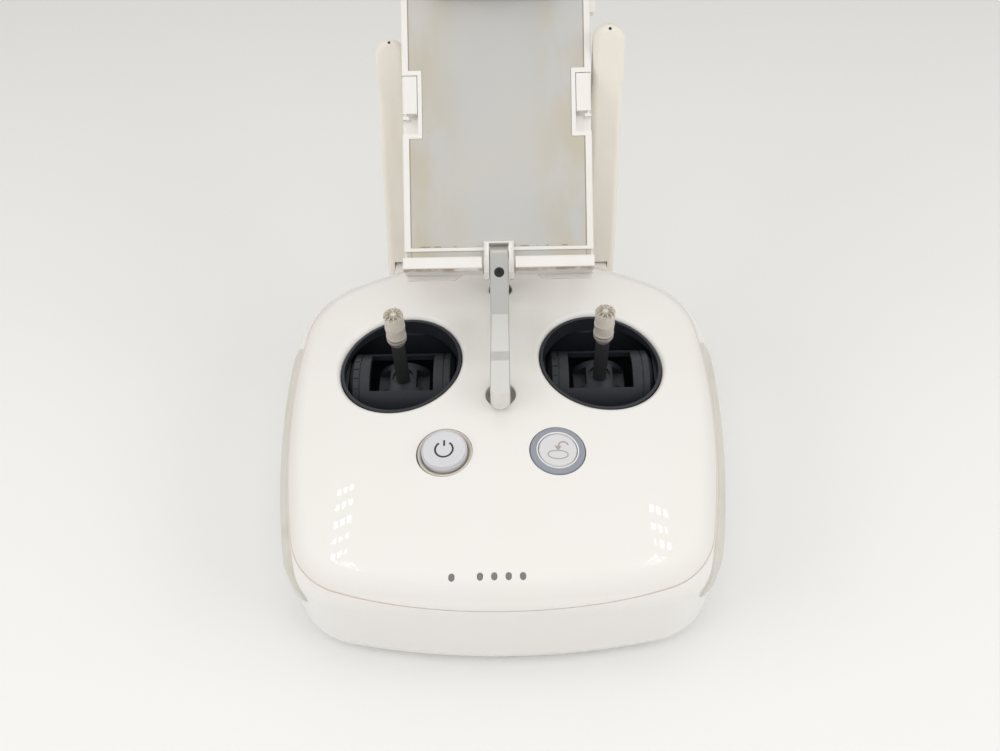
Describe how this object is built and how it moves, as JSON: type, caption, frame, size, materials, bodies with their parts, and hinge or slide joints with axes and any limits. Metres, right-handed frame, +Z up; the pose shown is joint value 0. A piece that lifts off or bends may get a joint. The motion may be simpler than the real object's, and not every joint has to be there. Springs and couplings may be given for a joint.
{
  "type": "radio transmitter controller",
  "caption": "Hand-held remote control transmitter with gimbal sticks, folding antennas, a bent carry bar and a tilting phone holder with a sliding clamp.",
  "frame": {"origin": "on the flat underside, below the middle of the casing", "axes": "+X to the operator's right, +Y away from the operator, +Z up from the table"},
  "size_m": [0.1782, 0.218, 0.185],
  "materials": {
    "white_gloss": "glossy warm white moulding",
    "holder_white": "satin white moulding",
    "aged_beige": "yellowed satin plastic",
    "grip_grey": "light grey rubberised trim",
    "pad_grey": "matt grey rubber with light stains",
    "dark_rubber": "dark rubber",
    "satin_grey_metal": "satin painted metal",
    "steel": "plain steel",
    "black_plastic": "near-black moulding",
    "dark_shaft": "dark grey coated metal",
    "satin_aluminium": "satin knurled metal",
    "silver_button": "silver paint with a lavender cast",
    "beige_trim": "beige-grey gloss",
    "white_button": "white gloss",
    "blue_grey_ring": "blue-grey translucent ring",
    "light_pipe": "smoke-grey light pipes",
    "circuit_board": "green solder mask",
    "battery_wrap": "blue-black shrink wrap",
    "control_grey": "mid-grey moulding"
  },
  "bodies": {
    "root": {"top_shell": "white_gloss", "bottom_shell": "white_gloss", "left_grip_trim": "grip_grey", "right_grip_trim": "grip_grey", "handle_bar": "satin_grey_metal", "hinge_bracket": "satin_grey_metal", "handle_screw": "dark_shaft", "power_bezel": "beige_trim", "home_light_ring": "blue_grey_ring", "home_bezel": "steel", "status_light_pipes": "light_pipe", "main_board": "circuit_board", "button_switches": "black_plastic", "radio_board": "circuit_board", "battery_pack": "battery_wrap", "left_gimbal_housing": "black_plastic", "right_gimbal_housing": "black_plastic", "left_gimbal_spring": "steel", "right_gimbal_spring": "steel", "left_antenna_mount": "white_gloss", "right_antenna_mount": "white_gloss", "left_antenna_pin": "steel", "right_antenna_pin": "steel", "rear_port_panel": "black_plastic", "usb_a_port": "steel", "micro_usb_port": "steel", "charge_port": "black_plastic", "case_screws": "steel", "holder_pivot_pin": "steel"},
    "left_drum": {"left_gimbal_drum": "black_plastic"},
    "left_stick": {"left_stick_saddle": "black_plastic", "left_stick_shaft": "dark_shaft", "left_stick_collar": "satin_aluminium"},
    "left_tip": {"left_stick_tip": "satin_aluminium"},
    "right_drum": {"right_gimbal_drum": "black_plastic"},
    "right_stick": {"right_stick_saddle": "black_plastic", "right_stick_shaft": "dark_shaft", "right_stick_collar": "satin_aluminium"},
    "right_tip": {"right_stick_tip": "satin_aluminium"},
    "power_button": {"power_button": "silver_button"},
    "home_button": {"home_button": "white_button"},
    "record_button": {"record_button": "control_grey"},
    "shutter_button": {"shutter_button": "control_grey"},
    "playback_button": {"playback_button": "control_grey"},
    "c1_button": {"c1_button": "control_grey"},
    "c2_button": {"c2_button": "control_grey"},
    "mode_switch": {"mode_switch": "black_plastic"},
    "left_dial": {"left_dial": "control_grey"},
    "right_dial": {"right_dial": "control_grey"},
    "left_antenna": {"left_antenna": "aged_beige"},
    "right_antenna": {"right_antenna": "aged_beige"},
    "holder": {"holder_tray": "holder_white", "holder_pad": "pad_grey", "ledge_pads": "pad_grey", "holder_back_cover": "holder_white"},
    "clamp": {"holder_clamp": "holder_white", "clamp_pad": "dark_rubber"},
    "clamp_release": {"clamp_release_button": "holder_white"},
    "left_tab": {"left_holder_tab": "holder_white"},
    "right_tab": {"right_holder_tab": "holder_white"}
  },
  "joints": [
    {"name": "left_stick_up_down", "type": "hinge", "parent": "root", "child": "left_drum", "pos_m": [-0.0403, 0.03586, 0.0449], "axis": [1, 0, 0], "range_deg": [-20, 20], "stiffness_Nm_per_rad": 0.05},
    {"name": "left_stick_side", "type": "hinge", "parent": "left_drum", "child": "left_stick", "pos_m": [-0.0403, 0.03586, 0.0449], "axis": [0, 0.9945, 0.1045], "range_deg": [-20, 20], "stiffness_Nm_per_rad": 0.05},
    {"name": "left_tip_height", "type": "slide", "parent": "left_stick", "child": "left_tip", "axis": [0, -0.1045, 0.9945], "range_m": [0, 0.004]},
    {"name": "right_stick_up_down", "type": "hinge", "parent": "root", "child": "right_drum", "pos_m": [0.0403, 0.03586, 0.0449], "axis": [1, 0, 0], "range_deg": [-20, 20], "stiffness_Nm_per_rad": 0.05},
    {"name": "right_stick_side", "type": "hinge", "parent": "right_drum", "child": "right_stick", "pos_m": [0.0403, 0.03586, 0.0449], "axis": [0, 0.9945, 0.1045], "range_deg": [-20, 20], "stiffness_Nm_per_rad": 0.05},
    {"name": "right_tip_height", "type": "slide", "parent": "right_stick", "child": "right_tip", "axis": [0, -0.1045, 0.9945], "range_m": [0, 0.004]},
    {"name": "power_button_press", "type": "slide", "parent": "root", "child": "power_button", "axis": [0.0636, 0.1297, -0.9895], "range_m": [0, 0.0008], "stiffness_N_per_m": 500, "springref_m": -0.0008},
    {"name": "home_button_press", "type": "slide", "parent": "root", "child": "home_button", "axis": [-0.0636, 0.1297, -0.9895], "range_m": [0, 0.0008], "stiffness_N_per_m": 500, "springref_m": -0.0008},
    {"name": "record_button_press", "type": "slide", "parent": "root", "child": "record_button", "axis": [0.309, -0.9458, -0.0994], "range_m": [0, 0.0012], "stiffness_N_per_m": 500, "springref_m": -0.0008},
    {"name": "shutter_button_press", "type": "slide", "parent": "root", "child": "shutter_button", "axis": [-0.309, -0.9458, -0.0994], "range_m": [0, 0.0012], "stiffness_N_per_m": 500, "springref_m": -0.0008},
    {"name": "playback_button_press", "type": "slide", "parent": "root", "child": "playback_button", "axis": [0, -0.9945, -0.1045], "range_m": [0, 0.0012], "stiffness_N_per_m": 500, "springref_m": -0.0008},
    {"name": "c1_button_press", "type": "slide", "parent": "root", "child": "c1_button", "axis": [0, -0.2588, 0.9659], "range_m": [0, 0.001], "stiffness_N_per_m": 500, "springref_m": -0.0008},
    {"name": "c2_button_press", "type": "slide", "parent": "root", "child": "c2_button", "axis": [0, -0.2588, 0.9659], "range_m": [0, 0.001], "stiffness_N_per_m": 500, "springref_m": -0.0008},
    {"name": "mode_switch_slide", "type": "slide", "parent": "root", "child": "mode_switch", "axis": [1, 0, 0], "range_m": [-0.003, 0.003]},
    {"name": "left_dial_turn", "type": "hinge", "parent": "root", "child": "left_dial", "pos_m": [-0.07487, 0.07373, 0.04636], "axis": [0, -0.1045, 0.9945], "range_deg": [-25, 25], "stiffness_Nm_per_rad": 0.02},
    {"name": "right_dial_turn", "type": "hinge", "parent": "root", "child": "right_dial", "pos_m": [0.07487, 0.07373, 0.04636], "axis": [0, -0.1045, 0.9945], "continuous": true},
    {"name": "left_antenna_fold", "type": "hinge", "parent": "root", "child": "left_antenna", "pos_m": [-0.0452, 0.10306, 0.05799], "axis": [1, 0, 0], "range_deg": [-92, 30]},
    {"name": "right_antenna_fold", "type": "hinge", "parent": "root", "child": "right_antenna", "pos_m": [0.0452, 0.10306, 0.05799], "axis": [1, 0, 0], "range_deg": [-106, 16]},
    {"name": "holder_tilt", "type": "hinge", "parent": "root", "child": "holder", "pos_m": [0, 0.0652, 0.09484], "axis": [1, 0, 0], "range_deg": [-30, 75]},
    {"name": "clamp_slide", "type": "slide", "parent": "holder", "child": "clamp", "axis": [0, 0.7071, 0.7071], "range_m": [0, 0.07]},
    {"name": "clamp_release_press", "type": "slide", "parent": "holder", "child": "clamp_release", "axis": [-1, 0, 0], "range_m": [0, 0.0015], "stiffness_N_per_m": 500, "springref_m": -0.0008},
    {"name": "left_tab_flip", "type": "hinge", "parent": "holder", "child": "left_tab", "pos_m": [-0.0369, 0.10969, 0.14147], "axis": [0, -0.7071, -0.7071], "range_deg": [0, 90]},
    {"name": "right_tab_flip", "type": "hinge", "parent": "holder", "child": "right_tab", "pos_m": [0.0369, 0.10969, 0.14147], "axis": [0, 0.7071, 0.7071], "range_deg": [0, 90]}
  ]
}
